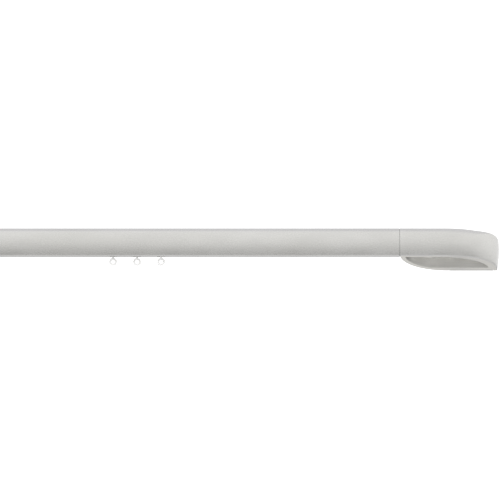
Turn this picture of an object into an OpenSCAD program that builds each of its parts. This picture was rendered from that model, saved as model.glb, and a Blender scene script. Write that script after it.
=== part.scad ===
// Curtain rod with return brackets: a hollow track rod, the gliders that hang from it,
// and a curved hollow bracket at each end that carries the rod back to the wall.
// Millimetres. The origin lies on the wall at mid-length, level with the rod's middle.
// X runs along the rod, Y into the wall and Z up. The right end is drawn and then mirrored.

/* [Rod] */
// Length of the rod between the two end brackets
rod_l = 800; // [600:10:1600]
// Depth of the rod, front to back
rod_d = 18; // [18:0.5:20]
// Distance from the wall to the front of the rod
projection = 48; // [48:1:52]
// Radius of the shallow bulge of the front face, seen from the end
bulge_r = 110; // [100:10:200]
// Height of the furthest forward line of the front face
bulge_z = 5; // [3:0.5:6]
// Radius of the upper front edge
top_edge_r = 7; // [6:0.5:8]
// Thickness of the front wall at the lower edge
lip_w = 4.3; // [4:0.1:4.6]

/* [Track] */
// Width of the channel that the gliders run in
channel_w = 10; // [9.6:0.1:10.4]
// Width of the slot that the gliders hang through
slot_w = 5; // [4.8:0.1:5.2]
// Running gap between a glider and the channel
glide_gap = 0.4; // [0.3:0.05:0.5]

/* [End brackets] */
// Length of an end bracket along the wall
bracket_l = 100; // [100:1:110]
// Thickness of the bracket's side walls
bracket_wall = 4.3; // [4:0.1:4.6]
// Thickness of the bracket's roof
bracket_roof = 3; // [3:0.1:3.4]
// Thickness of the wall plate
plate_t = 4; // [3.5:0.1:4.5]

/* [Gliders] */
// Distance from mid-length to the first glider of each side
first_glider_x = 113.5; // [60:0.5:120]
// Distance between neighbouring gliders
glider_pitch = 24; // [20:0.5:30]
// Length of a glider's carrier along the track
carrier_l = 12; // [10:0.5:14]
// Outer diameter of the ring eye
eye_d = 8.2; // [7.6:0.1:8.6]
// Diameter of the hole through the ring eye
eye_hole_d = 3.8; // [3:0.1:4.2]

/* [Hidden] */
$fn = 48;
cut = 0.1; // how far a cutting body runs past the face that it opens
fit = 0.1; // gap at each side of a part that slides into another

satin_metal = [0.74, 0.73, 0.71];
bare_aluminium = [0.8, 0.81, 0.82];
zinc = [0.7, 0.72, 0.74];
nylon = [0.93, 0.93, 0.9];

// The rod's section, in Y and Z
half_h = 15.3;
edge_r = 1;
back_edge_r = 2;
front_y = -projection;
back_y = front_y + rod_d;
skirt_z = -10.8; // underside of the rod behind its front lip
skirt_cut = 1; // chamfer of the rod's lower back edge
back_wall = 2;
track_y = front_y + 10;
channel_floor_z = -9.3;
channel_top_z = -2.5;
chamber_y = [front_y + 3, back_y - back_wall];
chamber_z = [-0.5, 12];
end_gap = 0.3; // shadow gap between the rod and a bracket
rod_end_x = rod_l / 2;

// How far a rounded edge of radius r has drawn in at distance d from the flat that it ends in
function edge_inset(d, r) = d < r ? r - sqrt(r * r - pow(r - d, 2)) : 0;

// How far the front face lies behind its furthest forward plane at height z, with upper edge radius r
function bulge_inset(z) = pow(z - bulge_z, 2) / (2 * bulge_r);
function face_inset(z, r) = bulge_inset(z) + edge_inset(half_h - z, r) + edge_inset(half_h + z, edge_r);

// Heights at which the front face is drawn, from the lower edge to the upper
round_steps = 4; // steps of a small rounded edge
bulge_steps = 7;
upper_steps = 9;
face_z = concat(
    [for (i = [0:round_steps]) -half_h + edge_r * (1 - cos(90 * i / round_steps))],
    [for (i = [1:bulge_steps]) edge_r - half_h + (2 * half_h - edge_r - top_edge_r) * i / bulge_steps],
    [for (i = [1:upper_steps]) half_h - top_edge_r * (1 - sin(90 * i / upper_steps))]
);

// Bracket outline seen from above: straight front, a wide arc, a tight arc to the wall,
// the wall, and a quarter circle back to the front corner
tip_x = rod_end_x + bracket_l;
end_r = projection - 6;
end_c = [tip_x - end_r, -3.5];
arc_dx = 12; // how far apart the centres of the two arcs are along X
arc_drop = projection - end_r + end_c.y;
arc_d = (arc_dx * arc_dx + arc_drop * arc_drop) / (2 * arc_drop); // and in a straight line
wide_c = end_c + [-arc_dx, arc_d - arc_drop];
wide_r = end_r + arc_d;
joint_a = atan2(end_c.y - wide_c.y, end_c.x - wide_c.x);
quarter_c = [rod_end_x + projection, -projection];
plate_gap = 0.2; // between the wall plate and the bracket around it
rail_d = plate_t + plate_gap + bracket_wall; // depth of the bracket's back rail, with the plate behind it
roof_z = half_h - bracket_roof;
tip_edge_r = 1.2; // the upper edge is less round where the bracket meets the wall
fade = [0.55, 0.95]; // where along the curve its radius starts and stops changing
tip_wall = 4.5; // how much thicker the front wall is at the wall
quarter_wall = bracket_wall + 0.7;
ceiling_r = 3; // fillet between the roof and the inner walls
inner_wall_z = [4, -2, -8, -half_h]; // heights at which the inner walls are drawn below the fillet
wide_steps = 12;
tight_steps = 14;
quarter_steps = 26;

// Wall plate and its fixings
plate_x = [tip_x - 50, tip_x - 6];
wall_hole_x = tip_x - 16;
wall_hole_z = 6;
wall_hole_r = 2.2;
wall_head_r = 4.2;
tongue_x = tip_x - 38;
tongue_w = 16;
tongue_l = 20;
tongue_t = 3.2;
tongue_gap = 0.3;
tongue_slot_w = tongue_w + 2 * tongue_gap;
plate_top_z = roof_z - plate_gap;
lock_screw_y = -17;
lock_hole_l = 2.2; // depth of its thread in the bracket's roof
m4_r = 1.95;
m4_tap_r = 2;
m4_clear_r = 2.2;
m4_key_r = 1.45;
key_depth = 0.6; // of a screw's socket, as a share of its head's height

// Joining spigot, its screws and the collar that takes it
collar_l = 14;
collar_front_y = front_y + 2.5; // inside the bracket's front wall
collar_skin = 0.05; // how far the collar stays below the bracket's outer surface
spigot_in_rod = 32;
spigot_in_collar = collar_l - 1;
spigot_hole_l = 9;
spigot_screw_x = [rod_end_x - 24, rod_end_x - 10];
spigot_z = (chamber_z[0] + chamber_z[1]) / 2;
grub_x = rod_end_x + 8.5;

// End stops
stop_l = 7.5;
stop_x = rod_end_x - 9;
stop_z = [channel_floor_z + 0.1, channel_top_z - 0.3];
m3_r = 1.5;
m3_tap_r = 1.55;
stop_screw_gap = 0.05; // between the screw and the channel at both ends

// Gliders
head_z = [channel_floor_z + glide_gap, channel_top_z - 1];
foot_z = [-12.4, skirt_z - glide_gap];
foot_r = 3.2;
neck_lift = 0.5; // how far above the foot's underside the neck starts
stem_r = 1;
stem_bore_r = 1.06;
pocket_r = 2.2;
pocket_z = -7.2;
eye_t = 2;
eye_z = -19;
stem_foot_z = eye_z + eye_d / 2 - 0.5; // where the stem sinks into the ring
stem_head = [1.9, 1.2]; // radius and height of the head that holds the stem in the carrier
stem_head_z = pocket_z + 0.2;
shoulder = [1.7, 0.9]; // radius and height of the collar below the carrier
shoulder_z = foot_z[0] - 1.2;

// A section drawn in Y and Z, run along X
module along_x(x0, length) {
    translate([x0, 0, 0])
        rotate([90, 0, 90])
            linear_extrude(length)
                children();
}

// Mirrors what is drawn for the right end to the left end
module left_hand() {
    mirror([1, 0, 0])
        children();
}

// A box from its lowest to its highest corner
module block(low, high) {
    translate(low)
        cube(high - low);
}

// The rod's outline without its cavities
module rod_outline() {
    lip_back = lip_w + bulge_inset(edge_r - half_h);
    back_arc = [for (i = [0:round_steps])
        let (a = 90 - 90 * i / round_steps)
        [back_y - back_edge_r, half_h - back_edge_r] + back_edge_r * [cos(a), sin(a)]];
    polygon(concat(
        [for (z = face_z) [front_y + face_inset(z, top_edge_r), z]],
        back_arc,
        [[back_y, skirt_z + skirt_cut], [back_y - skirt_cut, skirt_z], [front_y + lip_back, skirt_z],
         [front_y + lip_back, -half_h]]
    ));
}

// The square socket that the spigot fills, in Y and Z
module chamber() {
    translate([chamber_y[0], chamber_z[0]])
        square([chamber_y[1] - chamber_y[0], chamber_z[1] - chamber_z[0]]);
}

module rod_section() {
    difference() {
        rod_outline();
        chamber();
        translate([track_y - channel_w / 2, channel_floor_z])
            square([channel_w, channel_top_z - channel_floor_z]);
        translate([track_y - slot_w / 2, skirt_z - cut])
            square([slot_w, channel_floor_z - skirt_z + 2 * cut]);
    }
}

module rod_profile() {
    length = rod_l - 2 * end_gap;
    color(satin_metal)
        difference() {
            along_x(-length / 2, length)
                rod_section();
            for (side = [-1, 1], x = spigot_screw_x)
                translate([side * x, back_y - back_wall - cut, spigot_z])
                    rotate([-90, 0, 0])
                        cylinder(h = back_wall + 2 * cut, r = m4_clear_r);
        }
}

// How far along the curved front a place at x is: 0 where the curve begins, 1 at the wall
function along(x) = min(1, max(0, (x - wide_c.x) / (tip_x - wide_c.x)));

// Radius of the bracket's upper front edge, which shrinks over the last part of the curve
function upper_edge_r(t) =
    let (s = min(1, max(0, (t - fade[0]) / (fade[1] - fade[0]))))
    top_edge_r + (tip_edge_r - top_edge_r) * s * s * (3 - 2 * s);

// Bracket outline, inset by front(t) along the front, b along the quarter circle and w along the wall
function outline(front, b, w) =
    let (
        r = projection - b,
        first_q = asin((projection - w) / r),
        last_q = asin(front(0) / r),
        last_a = asin((-end_c.y - w) / (end_r - front(1)))
    )
    concat(
        [quarter_c + [-r * cos(last_q), front(0)]],
        [for (i = [0:wide_steps])
            let (a = -90 + (joint_a + 90) * i / wide_steps)
            wide_c + (wide_r - front(along(wide_c.x + wide_r * cos(a)))) * [cos(a), sin(a)]],
        [for (i = [1:tight_steps])
            let (a = joint_a + (last_a - joint_a) * i / tight_steps)
            end_c + (end_r - front(along(end_c.x + end_r * cos(a)))) * [cos(a), sin(a)]],
        [for (i = [0:quarter_steps - 1])
            let (a = first_q + (last_q - first_q) * i / quarter_steps)
            quarter_c + r * [-cos(a), sin(a)]]
    );

// Closed shell: the ceiling and inner walls downwards, the rim, then the outer walls upwards
module bracket_shell() {
    ceiling_z = [for (i = [0:round_steps]) roof_z - ceiling_r * (1 - cos(90 * i / round_steps))];
    inner_levels = [for (z = concat(ceiling_z, inner_wall_z))
        let (e = edge_inset(roof_z - z, ceiling_r), front = bulge_inset(z) + bracket_wall + e)
        [outline(function(t) front + tip_wall * sin(90 * t), quarter_wall + e, rail_d + e), z]];
    outer_levels = [for (z = face_z)
        let (e = edge_inset(half_h - z, back_edge_r))
        [outline(function(t) face_inset(z, upper_edge_r(t)), e, e), z]];
    levels = concat(inner_levels, outer_levels);
    n = len(levels[0][0]);
    last = (len(levels) - 1) * n;
    points = [for (level = levels, p = level[0]) [p.x, p.y, level[1]]];
    walls = [for (k = [0:len(levels) - 2], i = [0:n - 1])
        let (a = k * n + i, b = k * n + (i + 1) % n)
        each [[a, a + n, b + n], [a, b + n, b]]];
    ceiling = [for (i = [0:n - 1]) i];
    roof = [for (i = [n - 1:-1:0]) last + i];
    polyhedron(points, concat(walls, [ceiling, roof]));
}

// The block behind the bracket's front corner that holds the spigot and meets the rod's end
module bracket_collar() {
    along_x(rod_end_x, collar_l)
        polygon([
            [collar_front_y, skirt_z], [collar_front_y, half_h - top_edge_r],
            for (z = face_z)
                if (z > half_h - top_edge_r) [front_y + face_inset(z, top_edge_r) + collar_skin, z],
            [back_y - back_edge_r, half_h], [back_y, half_h - back_edge_r],
            [back_y, skirt_z + skirt_cut], [back_y - skirt_cut, skirt_z]
        ]);
}

module end_bracket() {
    color(satin_metal)
        difference() {
            union() {
                bracket_shell();
                bracket_collar();
            }
            along_x(rod_end_x - cut, collar_l + 2 * cut)
                chamber();
            translate([grub_x, track_y, skirt_z - cut])
                cylinder(h = chamber_z[0] - skirt_z + 2 * cut, r = m4_tap_r);
            block([plate_x[0] - plate_gap, -plate_t - plate_gap, -half_h - cut],
                  [plate_x[1] + plate_gap, cut, roof_z]);
            block([tongue_x - tongue_slot_w / 2, -rail_d - ceiling_r, plate_top_z - tongue_t - tongue_gap],
                  [tongue_x + tongue_slot_w / 2, -plate_t, roof_z]);
            translate([tongue_x, lock_screw_y, roof_z - cut])
                cylinder(h = lock_hole_l + cut, r = m4_tap_r);
        }
}

module wall_plate() {
    color(zinc)
        difference() {
            union() {
                block([plate_x[0], -plate_t, -half_h], [plate_x[1], 0, plate_top_z]);
                block([tongue_x - tongue_w / 2, -plate_t - tongue_l, plate_top_z - tongue_t],
                      [tongue_x + tongue_w / 2, -plate_t / 2, plate_top_z]);
            }
            for (z = [-wall_hole_z, wall_hole_z])
                translate([wall_hole_x, -plate_t, z])
                    rotate([-90, 0, 0]) {
                        translate([0, 0, -cut])
                            cylinder(h = plate_t + 2 * cut, r = wall_hole_r);
                        cylinder(h = wall_head_r - wall_hole_r, r1 = wall_head_r, r2 = wall_hole_r);
                    }
            translate([tongue_x, lock_screw_y, plate_top_z - tongue_t - cut])
                cylinder(h = tongue_t + 2 * cut, r = m4_clear_r);
        }
}

// Socket head screw standing on its head, with the underside of the head at height 0
module socket_screw(shank_r, shank_l, head_r, head_h, key_r) {
    difference() {
        union() {
            cylinder(h = shank_l, r = shank_r);
            translate([0, 0, -head_h])
                cylinder(h = head_h, r = head_r);
        }
        translate([0, 0, -head_h - cut])
            cylinder(h = head_h * key_depth + cut, r = key_r, $fn = 6);
    }
}

module plate_lock_screw() {
    color(zinc)
        translate([tongue_x, lock_screw_y, plate_top_z - tongue_t])
            socket_screw(m4_r, shank_l = 5.2, head_r = 3.8, head_h = 2.4, key_r = m4_key_r);
}

module joining_spigot() {
    color(bare_aluminium)
        difference() {
            block([rod_end_x - spigot_in_rod, chamber_y[0] + fit, chamber_z[0] + fit],
                  [rod_end_x + spigot_in_collar, chamber_y[1] - fit, chamber_z[1] - fit]);
            for (x = spigot_screw_x)
                translate([x, chamber_y[1] - spigot_hole_l, spigot_z])
                    rotate([-90, 0, 0])
                        cylinder(h = spigot_hole_l + cut, r = m4_tap_r);
        }
}

module spigot_screws() {
    color(zinc)
        for (x = spigot_screw_x)
            translate([x, back_y, spigot_z])
                rotate([90, 0, 0])
                    socket_screw(m4_r, shank_l = 10, head_r = 3.6, head_h = 2.2, key_r = m4_key_r);
}

module bracket_grub_screw() {
    length = 6;
    socket_l = 2;
    socket_r = 1.15;
    color(zinc)
        translate([grub_x, track_y, chamber_z[0] + fit - length])
            difference() {
                cylinder(h = length, r = m4_r);
                translate([0, 0, -cut])
                    cylinder(h = socket_l + cut, r = socket_r, $fn = 6);
            }
}

module end_stop() {
    color(nylon)
        difference() {
            block([stop_x, track_y - channel_w / 2 + glide_gap, stop_z[0]],
                  [stop_x + stop_l, track_y + channel_w / 2 - glide_gap, stop_z[1]]);
            translate([stop_x + stop_l / 2, track_y, channel_floor_z])
                cylinder(h = channel_top_z - channel_floor_z, r = m3_tap_r);
        }
}

module end_stop_screw() {
    color(zinc)
        translate([stop_x + stop_l / 2, track_y, channel_floor_z + stop_screw_gap])
            socket_screw(m3_r, shank_l = channel_top_z - channel_floor_z - 2 * stop_screw_gap,
                         head_r = 2.1, head_h = 2, key_r = 1.05);
}

function glider_x(number) = first_glider_x + (number - 1) * glider_pitch;

// Head that rides on the channel's lips, neck in the slot and a round foot below it
module glider_carrier(x) {
    head_w = channel_w - 2 * glide_gap;
    neck_w = slot_w - 2 * glide_gap;
    neck_l = carrier_l - 2;
    color(nylon)
        difference() {
            union() {
                block([x - carrier_l / 2, track_y - head_w / 2, head_z[0]],
                      [x + carrier_l / 2, track_y + head_w / 2, head_z[1]]);
                block([x - neck_l / 2, track_y - neck_w / 2, foot_z[0] + neck_lift],
                      [x + neck_l / 2, track_y + neck_w / 2, head_z[0] + cut]);
                translate([x, track_y, foot_z[0]])
                    cylinder(h = foot_z[1] - foot_z[0], r = foot_r);
            }
            translate([x, track_y, foot_z[0] - cut])
                cylinder(h = pocket_z - foot_z[0] + 2 * cut, r = stem_bore_r);
            translate([x, track_y, pocket_z])
                cylinder(h = head_z[1] - pocket_z + cut, r = pocket_r);
        }
}

// Ring on a stem that turns in the carrier and is held by its own head
module ring_eye(x) {
    color(nylon)
        translate([x, track_y, 0])
            difference() {
                union() {
                    translate([0, eye_t / 2, eye_z])
                        rotate([90, 0, 0])
                            cylinder(h = eye_t, r = eye_d / 2);
                    translate([0, 0, stem_foot_z])
                        cylinder(h = stem_head_z + stem_head[1] / 2 - stem_foot_z, r = stem_r);
                    translate([0, 0, shoulder_z])
                        cylinder(h = shoulder[1], r = shoulder[0]);
                    translate([0, 0, stem_head_z])
                        cylinder(h = stem_head[1], r = stem_head[0]);
                }
                translate([0, eye_t / 2 + cut, eye_z])
                    rotate([90, 0, 0])
                        cylinder(h = eye_t + 2 * cut, r = eye_hole_d / 2);
            }
}

rod_profile();
end_bracket();  // end_bracket_right
left_hand() end_bracket();  // end_bracket_left
wall_plate();  // wall_plate_right
left_hand() wall_plate();  // wall_plate_left
plate_lock_screw();  // plate_lock_screw_right
left_hand() plate_lock_screw();  // plate_lock_screw_left
joining_spigot();  // joining_spigot_right
left_hand() joining_spigot();  // joining_spigot_left
spigot_screws();  // spigot_screws_right
left_hand() spigot_screws();  // spigot_screws_left
bracket_grub_screw();  // bracket_grub_screw_right
left_hand() bracket_grub_screw();  // bracket_grub_screw_left
end_stop();  // end_stop_right
left_hand() end_stop();  // end_stop_left
end_stop_screw();  // end_stop_screw_right
left_hand() end_stop_screw();  // end_stop_screw_left
glider_carrier(glider_x(1));  // glider_carrier_right_1
glider_carrier(glider_x(2));  // glider_carrier_right_2
glider_carrier(glider_x(3));  // glider_carrier_right_3
glider_carrier(-glider_x(1));  // glider_carrier_left_1
glider_carrier(-glider_x(2));  // glider_carrier_left_2
glider_carrier(-glider_x(3));  // glider_carrier_left_3
ring_eye(glider_x(1));  // ring_eye_right_1
ring_eye(glider_x(2));  // ring_eye_right_2
ring_eye(glider_x(3));  // ring_eye_right_3
ring_eye(-glider_x(1));  // ring_eye_left_1
ring_eye(-glider_x(2));  // ring_eye_left_2
ring_eye(-glider_x(3));  // ring_eye_left_3
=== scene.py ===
"""Looks of the curtain rod with return brackets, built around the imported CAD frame.

Metres, in the CAD's frame: the origin on the wall at mid-length, X along the rod, Y into the wall, Z up.
"""

import math

import bmesh
import bpy
from mathutils import Matrix, Vector


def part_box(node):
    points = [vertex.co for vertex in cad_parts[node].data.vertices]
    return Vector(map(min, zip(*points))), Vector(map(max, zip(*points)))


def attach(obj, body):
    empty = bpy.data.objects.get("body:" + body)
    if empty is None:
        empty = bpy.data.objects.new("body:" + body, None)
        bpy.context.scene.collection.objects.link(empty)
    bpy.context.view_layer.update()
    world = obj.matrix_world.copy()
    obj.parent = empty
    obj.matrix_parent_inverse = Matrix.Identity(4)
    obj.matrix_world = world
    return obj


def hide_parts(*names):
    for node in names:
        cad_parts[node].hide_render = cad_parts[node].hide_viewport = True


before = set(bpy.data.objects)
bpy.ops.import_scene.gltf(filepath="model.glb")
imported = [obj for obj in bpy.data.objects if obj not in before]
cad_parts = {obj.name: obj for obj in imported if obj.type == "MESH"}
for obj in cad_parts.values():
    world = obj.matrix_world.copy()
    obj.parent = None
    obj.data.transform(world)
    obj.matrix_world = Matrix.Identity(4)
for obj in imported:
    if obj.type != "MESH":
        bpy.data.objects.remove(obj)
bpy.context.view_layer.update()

MM = 0.001
ENDS = {"right": 1, "left": -1}
MIRROR = Matrix.Diagonal((-1, 1, 1, 1))

# The rod's outline, seen from its end
ROD_LOW, ROD_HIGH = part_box("rod_profile")
FRONT_Y, BACK_Y = ROD_LOW[1], ROD_HIGH[1]
BASE_Z, TOP_Z = ROD_LOW[2], ROD_HIGH[2]
BULGE_R, BULGE_Z = 110 * MM, 5 * MM
TOP_EDGE_R, LOW_EDGE_R, BACK_EDGE_R, SKIRT_EDGE_R = 7 * MM, 1 * MM, 2 * MM, 1 * MM
TIP_EDGE_R = 1.2 * MM  # the upper edge where the bracket meets the wall
EDGE_FADE = (0.55, 0.95)  # where along the curve the upper edge narrows
LIP_W = 4.3 * MM
SKIRT_Z = -10.8 * MM

# The glider track and the chamber that takes the spigots
TRACK_Y = FRONT_Y + 10 * MM
CHANNEL_W, SLOT_W = 10 * MM, 5 * MM
CHANNEL_Z = (-9.3 * MM, -2.5 * MM)
CHAMBER_Y = (FRONT_Y + 3 * MM, BACK_Y - 2 * MM)
CHAMBER_Z = (-0.5 * MM, 12 * MM)
SPIGOT_SCREW_X = (10 * MM, 24 * MM)  # inwards from the bracket's seam
SCREW_HOLE_R, SCREW_HOLE_L = 2.2 * MM, 6 * MM

# The right-hand end bracket
BRACKET_LOW, BRACKET_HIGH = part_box("end_bracket_right")
SEAM_X, TIP_X = BRACKET_LOW[0], BRACKET_HIGH[0]
REACH = BRACKET_HIGH[1] - BRACKET_LOW[1]
WALL_T, QUARTER_WALL_T, ROOF_T = 4.3 * MM, 5 * MM, 3 * MM
TIP_WALL = 4.5 * MM  # how much thicker the front wall is at the wall end
CEILING_R = 3 * MM
PLATE_LOW, PLATE_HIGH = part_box("wall_plate_right")
PLATE_T, PLATE_GAP = 4 * MM, 0.2 * MM
TONGUE_W, TONGUE_T, TONGUE_X = 16 * MM, 3.2 * MM, TIP_X - 38 * MM
TONGUE_GAP = 0.3 * MM
GRUB_X, GRUB_R, GRUB_L = SEAM_X + 8.5 * MM, 2 * MM, 20 * MM
RAIL_D = PLATE_T + PLATE_GAP + WALL_T
COLLAR_L, COLLAR_SKIN = 14 * MM, 2.5 * MM
CORE_L, CORE_DEPTH = 3 * MM, 0.8 * MM  # the core that closes the shadow gap, near-black as painted shade
JOINT_GAP = SEAM_X - ROD_HIGH[0]
HAIR = 0.02 * MM  # keeps faces that would coincide apart
END_R = REACH - 6 * MM
END_C = Vector((TIP_X - END_R, -3.5 * MM))
ARC_DX, ARC_DROP = 12 * MM, REACH - END_R + END_C.y
ARC_D = (ARC_DX ** 2 + ARC_DROP ** 2) / (2 * ARC_DROP)
WIDE_C = END_C + Vector((-ARC_DX, ARC_D - ARC_DROP))
WIDE_R = END_R + ARC_D
QUARTER_C = Vector((SEAM_X + REACH, -REACH))

# Ring eyes
EYE_LOW, EYE_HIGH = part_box("ring_eye_right_1")
EYE_D = EYE_HIGH[0] - EYE_LOW[0]
EYE_HOLE_D = 3.8 * MM
EYE_T = 2 * MM
EYE_Z = EYE_LOW[2] + EYE_D / 2
EYE_EDGE_R = 0.55 * MM
NECK_R, SHOULDER_R, HEAD_R = 1 * MM, 1.7 * MM, 1.9 * MM
SHOULDER_Z, HEAD_T = -13.6 * MM, 1.2 * MM


# ---------------------------------------------------------------- materials

class Nodes:
    """A short way to write a node tree."""

    def __init__(self, tree):
        self.tree = tree
        tree.nodes.clear()

    def add(self, kind, inputs=None, **settings):
        node = self.tree.nodes.new("ShaderNode" + kind)
        for key, value in settings.items():
            setattr(node, key, value)
        for key, value in (inputs or {}).items():
            if isinstance(value, bpy.types.NodeSocket):
                self.tree.links.new(value, node.inputs[key])
            else:
                node.inputs[key].default_value = value
        return node

    def noise(self, point, stretch, scale=1.0, detail=3.0):
        """Noise whose features measure 1 / (stretch * scale) metres along each axis."""
        mapped = self.add("Mapping", {"Vector": point, "Scale": stretch})
        node = self.add("TexNoise", {"Vector": mapped.outputs[0], "Scale": scale, "Detail": detail})
        return node.outputs["Fac"]

    def ramp(self, value, low, high, out_low, out_high):
        """value from low to high, mapped to out_low to out_high."""
        return self.add("MapRange", {"Value": value, "From Min": low, "From Max": high,
                                     "To Min": out_low, "To Max": out_high}).outputs[0]

    def math(self, operation, a, b):
        return self.add("Math", {0: a, 1: b}, operation=operation).outputs[0]

    def sideways(self, point):
        """Distance from mid-length, along X."""
        return self.math("ABSOLUTE", self.add("SeparateXYZ", {0: point}).outputs["X"], 0.0)

    def blend(self, fac, a, b):
        """Colour a where fac is 0 and b where it is 1."""
        node = self.add("Mix", data_type="RGBA")
        for socket, value in ((node.inputs[0], fac), (node.inputs[6], a), (node.inputs[7], b)):
            if isinstance(value, bpy.types.NodeSocket):
                self.tree.links.new(value, socket)
            else:
                socket.default_value = value
        return node.outputs[2]

    def finish(self, bsdf):
        output = self.add("OutputMaterial")
        self.tree.links.new(bsdf.outputs[0], output.inputs[0])


def new_material(name):
    material = bpy.data.materials.new(name)
    material.use_nodes = True
    return material, Nodes(material.node_tree)


def grey(level, warmth=0.0):
    """A linear grey, warmer with warmth above 0."""
    return (level * (1 + 0.6 * warmth), level, level * (1 - 2.4 * warmth), 1)


def satin_metal(name, base, warmth, roughness, grain_depth=0.5, painted_light=()):
    """Satin metal, brushed along X, with faint clouding and sharp edges made a little brighter.

    painted_light lists places (start, stop, level) of painted light: the colour brightens to level from start
    to stop, which are distances from mid-length.
    """
    material, n = new_material(name)
    point = n.add("TexCoord").outputs["Object"]
    grain = n.noise(point, (260.0, 9000.0, 9000.0), detail=2.0)
    streaks = n.noise(point, (45.0, 5200.0, 5200.0), detail=3.0)
    clouds = n.noise(point, (11.0, 34.0, 34.0), detail=2.0)
    smudges = n.noise(point, (38.0, 90.0, 90.0), detail=5.0)
    edge = n.ramp(n.add("NewGeometry").outputs["Pointiness"], 0.53, 0.6, 0.0, 1.0)
    clouded = n.ramp(clouds, 0.35, 0.65, 0.0, 1.0)
    colour = n.blend(clouded, grey(base * 0.965, warmth), grey(base * 1.035, warmth * 0.8))
    colour = n.blend(n.ramp(streaks, 0.3, 0.7, 0.0, 0.1), colour, grey(base * 0.8, warmth))
    colour = n.blend(n.math("MULTIPLY", edge, 0.35), colour, grey(min(base * 1.25, 0.95), warmth * 0.5))
    # Painted light: the colour brightens to level over each listed stretch along X.
    for start, stop, level in painted_light:
        painted_light_mask = n.ramp(n.sideways(point), start, stop, 0.0, 1.0)
        colour = n.blend(painted_light_mask, colour, grey(level, warmth))
    rough = n.math("ADD", n.ramp(smudges, 0.3, 0.7, roughness - 0.035, roughness + 0.035),
                   n.ramp(grain, 0.3, 0.7, -0.03, 0.03))
    height = n.math("ADD", grain, n.math("MULTIPLY", streaks, 0.6))
    bump = n.add("Bump", {"Height": height, "Strength": 0.12 * grain_depth, "Distance": 0.00004})
    bsdf = n.add("BsdfPrincipled", {"Base Color": colour, "Roughness": rough, "Metallic": 1.0,
                                    "Specular Tint": (0.86, 0.86, 0.87, 1), "Normal": bump.outputs[0]})
    n.finish(bsdf)
    return material


def zinc_plate(name, level, warmth):
    """Bright zinc plating with mottled crystals and faint yellow stains."""
    material, n = new_material(name)
    point = n.add("TexCoord").outputs["Object"]
    spangle = n.add("TexVoronoi", {"Vector": point, "Scale": 900.0}).outputs["Distance"]
    stains = n.noise(point, (160.0, 160.0, 160.0), detail=4.0)
    scratches = n.noise(point, (2500.0, 2500.0, 120.0), detail=2.0)
    colour = n.blend(n.ramp(spangle, 0.1, 0.7, 0.0, 0.35), grey(level, warmth), grey(level * 0.78, warmth))
    colour = n.blend(n.ramp(stains, 0.55, 0.75, 0.0, 0.4), colour, grey(level * 0.93, 0.08))
    rough = n.math("ADD", n.ramp(stains, 0.3, 0.7, 0.28, 0.4), n.ramp(scratches, 0.3, 0.7, -0.04, 0.05))
    bump = n.add("Bump", {"Height": scratches, "Strength": 0.08, "Distance": 0.00005})
    bsdf = n.add("BsdfPrincipled", {"Base Color": colour, "Roughness": rough, "Metallic": 1.0,
                                    "Normal": bump.outputs[0]})
    n.finish(bsdf)
    return material


def nylon(name, level, roughness, cover=1.0):
    """Moulded nylon with flow marks and a fine mould texture, clearer as cover falls below 1."""
    material, n = new_material(name)
    point = n.add("TexCoord").outputs["Object"]
    flow = n.noise(point, (260.0, 260.0, 90.0), detail=3.0)
    texture = n.noise(point, (4200.0, 4200.0, 4200.0), detail=2.0)
    rub = n.noise(point, (700.0, 700.0, 700.0), detail=4.0)
    colour = n.blend(n.ramp(flow, 0.35, 0.65, 0.0, 1.0), grey(level, 0.004), grey(level * 0.95, 0.012))
    rough = n.math("ADD", n.ramp(rub, 0.3, 0.7, roughness - 0.06, roughness + 0.06),
                   n.ramp(texture, 0.3, 0.7, -0.03, 0.03))
    bump = n.add("Bump", {"Height": texture, "Strength": 0.1, "Distance": 0.00005})
    bsdf = n.add("BsdfPrincipled", {"Base Color": colour, "Roughness": rough, "IOR": 1.53,
                                    "Subsurface Weight": 0.1, "Subsurface Scale": 0.001,
                                    "Subsurface Radius": (1, 1, 1), "Alpha": cover,
                                    "Normal": bump.outputs[0]})
    n.finish(bsdf)
    return material


def cast_inside(name):
    """The brackets' unpolished inside: a pale casting, with painted shade that darkens it towards its corners
    and its lower edge.
    """
    material, n = new_material(name)
    point = n.add("TexCoord").outputs["Object"]
    height = n.add("SeparateXYZ", {0: point}).outputs["Z"]
    sideways = n.sideways(point)
    sand = n.noise(point, (1800.0, 1800.0, 1800.0), detail=3.0)
    clouds = n.noise(point, (60.0, 90.0, 90.0), detail=3.0)
    flow = n.noise(point, (25.0, 25.0, 420.0), detail=2.0)
    colour = n.blend(n.ramp(clouds, 0.35, 0.65, 0.0, 1.0), grey(0.72, 0.022), grey(0.78, 0.02))
    colour = n.blend(n.ramp(flow, 0.5, 0.7, 0.0, 0.25), colour, grey(0.6, 0.022))
    # Painted shade: darker towards the lower edge, near the seam and near the wall end, where the hollow's
    # corners lie.
    low = n.ramp(height, BASE_Z, BASE_Z + 11 * MM, 0.26, 0.0)
    near_seam_shade = n.ramp(sideways, SEAM_X + 5 * MM, SEAM_X + 14 * MM, 0.8, 0.0)
    near_wall_shade = n.ramp(sideways, TIP_X - 19 * MM, TIP_X - 12 * MM, 0.0, 0.35)
    painted_shade = n.math("MAXIMUM", low, n.math("MAXIMUM", near_seam_shade, near_wall_shade))
    colour = n.blend(painted_shade, colour, grey(0.12, 0.02))
    rough = n.ramp(sand, 0.3, 0.7, 0.55, 0.68)
    bump = n.add("Bump", {"Height": sand, "Strength": 0.25, "Distance": 0.00012})
    bsdf = n.add("BsdfPrincipled", {"Base Color": colour, "Roughness": rough, "Metallic": 0.15,
                                    "Normal": bump.outputs[0]})
    n.finish(bsdf)
    return material


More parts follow.
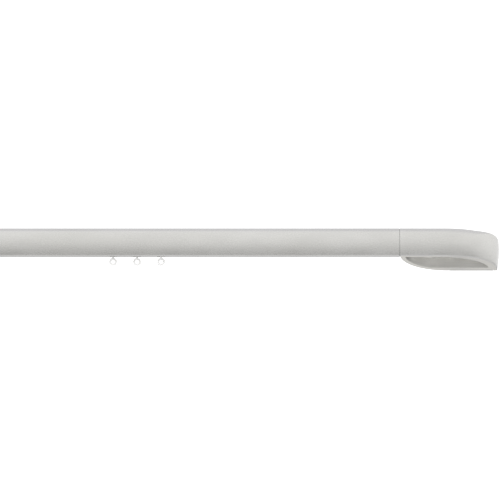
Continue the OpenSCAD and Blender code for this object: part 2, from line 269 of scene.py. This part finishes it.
def floor_paint():
    """Plain pale floor with a barely visible mottling."""
    material, n = new_material("floor_paint")
    point = n.add("TexCoord").outputs["Object"]
    mottle = n.noise(point, (0.3, 0.3, 0.3), detail=3.0)
    colour = n.blend(mottle, grey(0.78), grey(0.8))
    n.finish(n.add("BsdfPrincipled", {"Base Color": colour, "Roughness": 0.9}))
    return material


MATERIALS = {
    "rod_metal": satin_metal("satin_rod", 0.5, 0.017, 0.27),
    "bracket_metal": satin_metal("satin_bracket", 0.5, 0.017, 0.27, grain_depth=0.3),
    "plate_steel": zinc_plate("zinc_plate", 0.5, 0.022),
    "screw_steel": zinc_plate("zinc_screw", 0.6, -0.01),
    "spigot_aluminium": satin_metal("mill_aluminium", 0.7, 0.0, 0.36, grain_depth=1.0),
    "runner_nylon": nylon("runner_nylon", 0.82, 0.42),
    "eye_nylon": nylon("eye_nylon", 0.88, 0.35, cover=0.55),
}
INSIDE = cast_inside("cast_inside")
# The rim's lighter stretches near the seam and near the wall end are painted light.
RIM = satin_metal("rim_painted_light", 0.5, 0.034, 0.3, grain_depth=0.6,
                  painted_light=((SEAM_X + 60 * MM, SEAM_X + 30 * MM, 0.6), (TIP_X - 40 * MM, TIP_X - 18 * MM, 0.57)))
# The core's near-black nylon is painted shade for the shadow gap.
GAP_SHADE = nylon("gap_painted_shade", 0.03, 0.8)


# ---------------------------------------------------------------- mesh tools

def to_object(bm, name):
    """A linked object with outward normals made from a bmesh."""
    bmesh.ops.recalc_face_normals(bm, faces=bm.faces)
    mesh = bpy.data.meshes.new(name)
    bm.to_mesh(mesh)
    bm.free()
    obj = bpy.data.objects.new(name, mesh)
    bpy.context.scene.collection.objects.link(obj)
    return obj


def shade(obj, sharp_angle=30):
    """Smooth faces, with edges above the angle kept sharp."""
    obj.data.polygons.foreach_set("use_smooth", [True] * len(obj.data.polygons))
    obj.data.set_sharp_from_angle(angle=math.radians(sharp_angle))


def dress(obj, slot, body, *replaced):
    """Gives a new piece its body and hides the CAD nodes that it stands for; slot is not used."""
    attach(obj, body)
    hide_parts(*replaced)


def round_edges(obj, width, segments=2, angle=35):
    """Rounds the edges sharper than the angle."""
    modifier = obj.modifiers.new("edges", "BEVEL")
    modifier.width = width
    modifier.segments = segments
    modifier.limit_method = "ANGLE"
    modifier.angle_limit = math.radians(angle)
    modifier.harden_normals = True


def boolean(base, operation, *tools):
    """Cuts tools from base, or joins them to it, and removes them."""
    for tool in tools:
        modifier = base.modifiers.new("boolean", "BOOLEAN")
        modifier.operation = operation
        modifier.solver = "EXACT"
        modifier.object = tool
    depsgraph = bpy.context.evaluated_depsgraph_get()
    mesh = bpy.data.meshes.new_from_object(base.evaluated_get(depsgraph), depsgraph=depsgraph)
    base.modifiers.clear()
    base.data = mesh
    for tool in tools:
        bpy.data.objects.remove(tool)


def box(low, high):
    """A box from its lowest to its highest corner."""
    bm = bmesh.new()
    bmesh.ops.create_cube(bm, size=1)
    for v in bm.verts:
        v.co = Vector([(low[k] + high[k]) / 2 + v.co[k] * (high[k] - low[k]) for k in range(3)])
    return to_object(bm, "tool")


def cylinder(centre, radius, depth, axis="Z"):
    """A cylinder along Y or Z."""
    bm = bmesh.new()
    bmesh.ops.create_cone(bm, cap_ends=True, segments=64, radius1=radius, radius2=radius, depth=depth)
    if axis == "Y":
        bm.transform(Matrix.Rotation(math.pi / 2, 4, "X"))
    bm.transform(Matrix.Translation(centre))
    return to_object(bm, "tool")


def extrude_x(section, holes, stations):
    """A bar along X: section and holes are loops in Y and Z, stations are the places along X with a ring."""
    bm = bmesh.new()
    rings = [[[bm.verts.new((x, y, z)) for y, z in loop] for x in stations] for loop in [section] + holes]
    for loop in rings:
        n = len(loop[0])
        for a, b in zip(loop, loop[1:]):
            for i in range(n):
                j = (i + 1) % n
                bm.faces.new((a[i], a[j], b[j], b[i]))
    for end in (0, -1):
        edges = []
        for loop in rings:
            n = len(loop[end])
            edges += [bm.edges.get((loop[end][i], loop[end][(i + 1) % n])) for i in range(n)]
        bmesh.ops.triangle_fill(bm, use_beauty=True, edges=edges)
    return bm


def arc(centre, radius, start, stop, steps):
    """Points of an arc, from start to stop in degrees."""
    angles = [math.radians(start + (stop - start) * i / steps) for i in range(steps + 1)]
    return [(centre[0] + radius * math.cos(a), centre[1] + radius * math.sin(a)) for a in angles]


def rectangle(y, z):
    return [(y[0], z[0]), (y[1], z[0]), (y[1], z[1]), (y[0], z[1])]


# ---------------------------------------------------------------- rod

def bulge_inset(z):
    """How far the front face lies behind its furthest forward line, at height z."""
    return (z - BULGE_Z) ** 2 / (2 * BULGE_R)


def edge_inset(distance, radius):
    """How far a rounded edge has drawn in, at a distance from the flat that it ends in."""
    return radius - math.sqrt(radius ** 2 - (radius - distance) ** 2) if distance < radius else 0.0


def face_inset(z, top_r=TOP_EDGE_R):
    """The front face's inset at height z, with its two rounded edges."""
    return bulge_inset(z) + edge_inset(max(TOP_Z - z, 0), top_r) + edge_inset(max(z - BASE_Z, 0), LOW_EDGE_R)


def face_heights(low_steps=8, bulge_steps=20, top_steps=20):
    """Heights at which the front face is drawn, from the lower edge to the upper one."""
    low, high = BASE_Z + LOW_EDGE_R, TOP_Z - TOP_EDGE_R
    return ([low - LOW_EDGE_R * math.cos(math.pi / 2 * i / low_steps) for i in range(low_steps + 1)]
            + [low + (high - low) * i / bulge_steps for i in range(1, bulge_steps + 1)]
            + [high + TOP_EDGE_R * math.sin(math.pi / 2 * i / top_steps) for i in range(1, top_steps + 1)])


def back_profile(lowered=0.0):
    """The rod's rounded back, from its upper edge to its lower one, with the upper edge lowered."""
    upper = arc((BACK_Y - BACK_EDGE_R, TOP_Z - BACK_EDGE_R - lowered), BACK_EDGE_R, 90, 0, 8)
    return upper + arc((BACK_Y - SKIRT_EDGE_R, SKIRT_Z + SKIRT_EDGE_R), SKIRT_EDGE_R, 0, -90, 6)


def rod_outline():
    """The rod's outline without its track, as one loop in Y and Z."""
    front = [(FRONT_Y + face_inset(z), z) for z in face_heights()]
    lip_y = FRONT_Y + LIP_W + bulge_inset(BASE_Z + LOW_EDGE_R)
    return front + back_profile() + [(lip_y, SKIRT_Z), (lip_y, BASE_Z)]


def rod_section():
    """The rod's outline with its slotted track."""
    left, right = TRACK_Y - CHANNEL_W / 2, TRACK_Y + CHANNEL_W / 2
    slot_left, slot_right = TRACK_Y - SLOT_W / 2, TRACK_Y + SLOT_W / 2
    track = [
        (slot_right, SKIRT_Z), (slot_right, CHANNEL_Z[0]), (right, CHANNEL_Z[0]), (right, CHANNEL_Z[1]),
        (left, CHANNEL_Z[1]), (left, CHANNEL_Z[0]), (slot_left, CHANNEL_Z[0]), (slot_left, SKIRT_Z),
    ]
    outline_points = rod_outline()
    return outline_points[:-2] + track + outline_points[-2:]


def make_rod():
    x0, x1 = ROD_LOW[0], ROD_HIGH[0]
    steps = 40
    stations = [x0 + (x1 - x0) * i / steps for i in range(steps + 1)]
    rod = to_object(extrude_x(rod_section(), [rectangle(CHAMBER_Y, CHAMBER_Z)], stations), "rod_body")
    rod.data.materials.append(MATERIALS["rod_metal"])
    holes = []
    for side in ENDS.values():
        for inwards in SPIGOT_SCREW_X:
            centre = (side * (SEAM_X - inwards), BACK_Y, sum(CHAMBER_Z) / 2)
            holes.append(cylinder(centre, SCREW_HOLE_R, SCREW_HOLE_L, "Y"))
    boolean(rod, "DIFFERENCE", *holes)
    shade(rod)
    round_edges(rod, 0.25 * MM)
    dress(rod, "rod_metal", "root", "rod_profile")


# ---------------------------------------------------------------- end brackets

OUTER_SLOT, INSIDE_SLOT, GAP_SHADE_SLOT, RIM_SLOT = range(4)  # the bracket's material slots


def along(x):
    """How far along the curved front a place at x is: 0 where the curve begins, 1 at the wall."""
    return min(1.0, max(0.0, (x - WIDE_C.x) / (TIP_X - WIDE_C.x)))


def upper_edge_r(t):
    """Radius of the upper front edge, which shrinks over the last part of the curve."""
    s = min(1.0, max(0.0, (t - EDGE_FADE[0]) / (EDGE_FADE[1] - EDGE_FADE[0])))
    return TOP_EDGE_R + (TIP_EDGE_R - TOP_EDGE_R) * s * s * (3 - 2 * s)


def front_arc(centre, radius, start, stop, steps, front):
    """An arc of the front, drawn in by front(t), from start to stop in degrees."""
    points = []
    for i in range(steps + 1):
        a = math.radians(start + (stop - start) * i / steps)
        r = radius - front(along(centre.x + radius * math.cos(a)))
        points.append((centre.x + r * math.cos(a), centre.y + r * math.sin(a)))
    return points


def between(start, stop, steps):
    """The points that divide a line into equal steps, without its ends."""
    return [tuple(start[k] + (stop[k] - start[k]) * i / steps for k in range(2)) for i in range(1, steps)]


def outline(front, back, wall):
    """The bracket seen from above, inset by front(t), back and wall along its three sides."""
    r = REACH - back
    joint = math.degrees(math.atan2(END_C.y - WIDE_C.y, END_C.x - WIDE_C.x))
    last = math.degrees(math.asin((-END_C.y - wall) / (END_R - front(1))))
    first_q = math.degrees(math.asin((REACH - wall) / r))
    last_q = math.degrees(math.asin(front(0) / r))
    quarter = arc(QUARTER_C, r, 180 - first_q, 180 - last_q, 56)
    curve = (front_arc(WIDE_C, WIDE_R, -90, joint, 28, front)
             + front_arc(END_C, END_R, joint, last, 32, front)[1:])
    return ([quarter[-1]] + between(quarter[-1], curve[0], 6) + curve
            + between(curve[-1], quarter[0], 6) + quarter[:-1])


def inner_levels(rim_r=0.5 * MM, ceiling_steps=8, wall_steps=10, rim_steps=6):
    """Heights and insets of the hollow's rings: the rounded ceiling, the inner walls and the rounded rim."""
    roof_z = TOP_Z - ROOF_T
    wall_z, rim_z = roof_z - CEILING_R, BASE_Z + rim_r
    levels = []
    for i in range(ceiling_steps + 1):
        z = roof_z - CEILING_R * (1 - math.cos(math.pi / 2 * i / ceiling_steps))
        levels.append((z, edge_inset(roof_z - z, CEILING_R)))
    levels += [(wall_z + (rim_z - wall_z) * i / wall_steps, 0.0) for i in range(1, wall_steps + 1)]
    for i in range(1, rim_steps + 1):
        a = math.pi / 2 * i / rim_steps
        levels.append((BASE_Z + rim_r * (1 - math.sin(a)), -rim_r * (1 - math.cos(a))))
    return levels, len(levels) - rim_steps


def inner_outline(z, inset):
    """The hollow's outline at height z: the front wall thickens towards the wall end."""
    wall = bulge_inset(z) + WALL_T + inset
    return outline(lambda t: wall + TIP_WALL * math.sin(t * math.pi / 2),
                   QUARTER_WALL_T + inset, RAIL_D + inset)


def outer_outline(z, low_r=0.6 * MM):
    """The bracket's outer outline at height z."""
    inset = edge_inset(max(TOP_Z - z, 0), BACK_EDGE_R) + edge_inset(max(z - BASE_Z, 0), low_r)
    return outline(lambda t: face_inset(z, upper_edge_r(t)), inset, inset)


def make_bracket_shell():
    """The hollow shell: its ceiling and inner walls downwards, its rim, then its outer walls upwards."""
    levels, rim_from = inner_levels()
    loops = [(inner_outline(z, inset), z) for z, inset in levels]
    loops += [(outer_outline(z), z) for z in face_heights()]
    bm = bmesh.new()
    rings = [[bm.verts.new((x, y, z)) for x, y in points] for points, z in loops]
    n = len(rings[0])
    for k, (low, high) in enumerate(zip(rings, rings[1:])):
        slot = INSIDE_SLOT if k < rim_from else RIM_SLOT if k < len(levels) else OUTER_SLOT
        for i in range(n):
            j = (i + 1) % n
            bm.faces.new((low[i], low[j], high[j], high[i])).material_index = slot
    bm.faces.new(rings[0]).material_index = INSIDE_SLOT
    bm.faces.new(rings[-1])
    shell = to_object(bm, "bracket_body_right")
    for material in (MATERIALS["bracket_metal"], INSIDE, GAP_SHADE, RIM):
        shell.data.materials.append(material)
    return shell


def in_slot(tool, slot):
    """The tool, with all its faces in one of the bracket's material slots."""
    for face in tool.data.polygons:
        face.material_index = slot
    return tool


def make_collar():
    """Solid end behind the seam that takes the spigot, with the rod's outline."""
    front_y = FRONT_Y + COLLAR_SKIN
    edge = [(FRONT_Y + face_inset(z) + HAIR, min(z, TOP_Z - HAIR)) for z in face_heights()
            if z > TOP_Z - TOP_EDGE_R + 0.1 * MM]
    section = [(front_y, SKIRT_Z), (front_y, TOP_Z - TOP_EDGE_R)] + edge + back_profile(lowered=HAIR)
    return in_slot(to_object(extrude_x(section, [], [SEAM_X + HAIR, SEAM_X + COLLAR_L]), "tool"), OUTER_SLOT)


def make_core():
    """Filling of the shadow gap, near-black as painted shade, a little smaller than the rod's outline."""
    middle = ((FRONT_Y + BACK_Y) / 2, (BASE_Z + TOP_Z) / 2)
    size = (BACK_Y - FRONT_Y, TOP_Z - BASE_Z)
    section = [tuple(middle[k] + (p[k] - middle[k]) * (1 - 2 * CORE_DEPTH / size[k]) for k in range(2))
               for p in rod_outline()]
    stations = [SEAM_X - JOINT_GAP + HAIR, SEAM_X + CORE_L]
    return in_slot(to_object(extrude_x(section, [], stations), "tool"), GAP_SHADE_SLOT)


def make_bracket():
    """Both brackets: the shell with its socket, wall plate pocket, tongue slot and grub screw hole."""
    shell = make_bracket_shell()
    boolean(shell, "UNION", make_collar(), make_core())
    over = 1 * MM
    roof_z = TOP_Z - ROOF_T
    socket = box((SEAM_X - over, CHAMBER_Y[0], CHAMBER_Z[0]),
                 (SEAM_X + COLLAR_L + over, CHAMBER_Y[1], CHAMBER_Z[1]))
    pocket = box((PLATE_LOW[0] - PLATE_GAP, -PLATE_T - PLATE_GAP, BASE_Z - over),
                 (PLATE_HIGH[0] + PLATE_GAP, over, roof_z))
    half_slot = TONGUE_W / 2 + TONGUE_GAP
    slot = box((TONGUE_X - half_slot, -RAIL_D - CEILING_R, PLATE_HIGH[2] - TONGUE_T - TONGUE_GAP),
               (TONGUE_X + half_slot, -PLATE_T, roof_z))
    grub = cylinder((GRUB_X, TRACK_Y, SKIRT_Z), GRUB_R, GRUB_L)
    boolean(shell, "DIFFERENCE", socket, pocket, slot, grub)
    mirrored = bpy.data.objects.new("bracket_body_left", shell.data.copy())
    bpy.context.scene.collection.objects.link(mirrored)
    mirrored.data.transform(MIRROR)
    mirrored.data.flip_normals()
    for side, obj in (("right", shell), ("left", mirrored)):
        shade(obj, 32)
        dress(obj, "bracket_metal", "root", f"end_bracket_{side}")


# ---------------------------------------------------------------- ring eyes

def make_eye(name, node, body, turns=64):
    """A moulded ring with rounded edges on a turned stem with a shoulder and a retaining head."""
    low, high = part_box(node)
    cx, cy = (low[0] + high[0]) / 2, (low[1] + high[1]) / 2
    inner, outer = EYE_HOLE_D / 2 + EYE_EDGE_R, EYE_D / 2 - EYE_EDGE_R
    side = EYE_T / 2 - EYE_EDGE_R
    corners = [(inner, side, 180, 90), (outer, side, 90, 0),
               (outer, -side, 0, -90), (inner, -side, -90, -180)]
    section = [p for r, t, start, stop in corners for p in arc((r, t), EYE_EDGE_R, start, stop, 5)]
    bm = bmesh.new()
    rings = []
    for k in range(turns):
        a = 2 * math.pi * k / turns
        rings.append([bm.verts.new((cx + r * math.cos(a), cy + t, EYE_Z + r * math.sin(a)))
                      for r, t in section])
    n = len(section)
    for k in range(turns):
        a, b = rings[k], rings[(k + 1) % turns]
        for i in range(n):
            bm.faces.new((a[i], a[(i + 1) % n], b[(i + 1) % n], b[i]))
    ring = to_object(bm, name)
    ring.data.materials.append(MATERIALS["eye_nylon"])
    ring_top, head_top = EYE_Z + EYE_D / 2, high[2]
    profile = [(0, ring_top - 0.8 * MM), (1.35 * MM, ring_top - 0.8 * MM), (1.1 * MM, ring_top),
               (NECK_R, SHOULDER_Z - 0.15 * MM), (SHOULDER_R - 0.25 * MM, SHOULDER_Z),
               (SHOULDER_R, SHOULDER_Z + 0.2 * MM), (SHOULDER_R, SHOULDER_Z + 0.7 * MM),
               (SHOULDER_R - 0.2 * MM, SHOULDER_Z + 0.9 * MM), (NECK_R, SHOULDER_Z + 0.9 * MM),
               (NECK_R, head_top - HEAD_T), (HEAD_R - 0.15 * MM, head_top - HEAD_T),
               (HEAD_R, head_top - HEAD_T + 0.2 * MM), (HEAD_R, head_top - 0.5 * MM),
               (HEAD_R - 0.4 * MM, head_top), (0, head_top)]
    stem = to_object(lathe(profile, (cx, cy)), "tool")
    boolean(ring, "UNION", stem)
    shade(ring, 40)
    dress(ring, "eye_nylon", body, node)


def lathe(profile, centre, turns=48):
    """A solid turned about an upright line: profile is (radius, height) points from axis to axis."""
    bm = bmesh.new()
    rings = []
    for r, z in profile:
        angles = [2 * math.pi * k / turns for k in range(turns if r else 1)]
        rings.append([bm.verts.new((centre[0] + r * math.cos(a), centre[1] + r * math.sin(a), z))
                      for a in angles])
    for a, b in zip(rings, rings[1:]):
        for k in range(turns):
            j = (k + 1) % turns
            if len(a) == 1:
                bm.faces.new((a[0], b[k], b[j]))
            elif len(b) == 1:
                bm.faces.new((a[k], a[j], b[0]))
            else:
                bm.faces.new((a[k], a[j], b[j], b[k]))
    return bm


# ---------------------------------------------------------------- carried-over CAD nodes

def finish_cad_node(name, slot, edge):
    """Joins the CAD mesh's split corners, rounds its edges and gives it its material."""
    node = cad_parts[name]
    weld = node.modifiers.new("weld", "WELD")
    weld.merge_threshold = 0.002 * MM
    merge = node.modifiers.new("merge", "DECIMATE")
    merge.decimate_type = "DISSOLVE"
    merge.angle_limit = math.radians(1)
    round_edges(node, edge)
    for slot_index in range(len(node.material_slots)):
        node.material_slots[slot_index].material = MATERIALS[slot]


# Each fixed node's material slot, and the width of its rounded edges in millimetres
FIXED_NODES = {
    "wall_plate": ("plate_steel", 0.3),
    "plate_lock_screw": ("screw_steel", 0.25),
    "spigot_screws": ("screw_steel", 0.25),
    "bracket_grub_screw": ("screw_steel", 0.2),
    "end_stop_screw": ("screw_steel", 0.15),
    "joining_spigot": ("spigot_aluminium", 0.3),
    "end_stop": ("runner_nylon", 0.3),
}

make_rod()
make_bracket()
for side in ENDS:
    for number in (1, 2, 3):
        make_eye(f"eye_{side}_{number}", f"ring_eye_{side}_{number}", f"eye_{side}_{number}")
        finish_cad_node(f"glider_carrier_{side}_{number}", "runner_nylon", 0.3 * MM)
    for name, (slot, edge) in FIXED_NODES.items():
        finish_cad_node(f"{name}_{side}", slot, edge * MM)


# ---------------------------------------------------------------- studio

VIEW_ELEVATION = -19.0
VIEW_CENTRE = Vector((TIP_X / 2 + 0.3 * MM, -30 * MM, -3.65 * MM))
VIEW_WIDTH = 0.5
LENS = 800.0
FLOOR_Z, FLOOR_SIZE = -25.0, 340.0
# The studio's brightness from straight down (0) to straight up (1): place, level and blueness
SKY = ((0.42, 0.5, 0.0), (0.5, 0.36, 0.0), (0.535, 0.545, 0.0), (0.58, 0.845, 0.0), (0.63, 0.927, 0.0),
       (0.69, 0.96, 0.0), (0.8, 0.84, 0.02), (1.0, 0.77, 0.04))


def make_floor():
    bm = bmesh.new()
    bmesh.ops.create_grid(bm, x_segments=8, y_segments=8, size=FLOOR_SIZE / 2)
    floor = to_object(bm, "floor")
    floor.location.z = FLOOR_Z
    floor.data.materials.append(floor_paint())


def make_sky():
    """A bright studio that is darker towards the horizon, with brighter upper walls at its two sides."""
    world = bpy.data.worlds.new("studio")
    bpy.context.scene.world = world
    world.use_nodes = True
    n = Nodes(world.node_tree)
    direction = n.add("SeparateXYZ", {0: n.add("TexCoord").outputs["Generated"]})
    height = n.add("ValToRGB", {"Fac": n.ramp(direction.outputs["Z"], -1.0, 1.0, 0.0, 1.0)})
    ramp = height.color_ramp
    ramp.interpolation = "EASE"
    ramp.elements[0].position, ramp.elements[1].position = SKY[0][0], SKY[-1][0]
    for position, level, blue in SKY[1:-1]:
        ramp.elements.new(position)
    for element, (position, level, blue) in zip(ramp.elements, SKY):
        element.color = (level, level, level * (1 + blue), 1)
    aside = n.math("MULTIPLY", direction.outputs["X"], direction.outputs["X"])
    wall = n.blend(n.ramp(direction.outputs["Z"], 0.25, 0.4, 0.0, 1.0), grey(0.8), grey(1.08))
    colour = n.blend(n.ramp(aside, 0.3, 1.0, 0.0, 0.5), height.outputs[0], wall)
    background = n.add("Background", {"Color": colour, "Strength": 1.5})
    output = n.add("OutputWorld")
    world.node_tree.links.new(background.outputs[0], output.inputs[0])


def make_light(name, location, size, power):
    light = bpy.data.lights.new(name, "AREA")
    light.shape = "RECTANGLE"
    light.size, light.size_y = size
    light.energy = power
    obj = bpy.data.objects.new(name, light)
    obj.location = location
    obj.rotation_mode = "QUATERNION"
    obj.rotation_quaternion = (-Vector(location)).to_track_quat("-Z", "Y")
    bpy.context.scene.collection.objects.link(obj)


def make_camera():
    """A long lens, so that the object keeps its proportions from end to end."""
    data = bpy.data.cameras.new("camera")
    data.lens = LENS
    data.sensor_width = 36.0
    distance = VIEW_WIDTH * LENS / data.sensor_width
    data.clip_start, data.clip_end = 0.1, 500.0
    camera = bpy.data.objects.new("camera", data)
    a = math.radians(VIEW_ELEVATION)
    camera.location = VIEW_CENTRE + distance * Vector((0, -math.cos(a), math.sin(a)))
    camera.rotation_euler = (math.pi / 2 - a, 0, 0)
    bpy.context.scene.collection.objects.link(camera)
    bpy.context.scene.camera = camera


make_floor()
make_sky()
make_light("key", (-0.8, -3.0, 3.2), (3.0, 2.0), 3)
make_camera()
bpy.context.scene.view_settings.view_transform = "Standard"
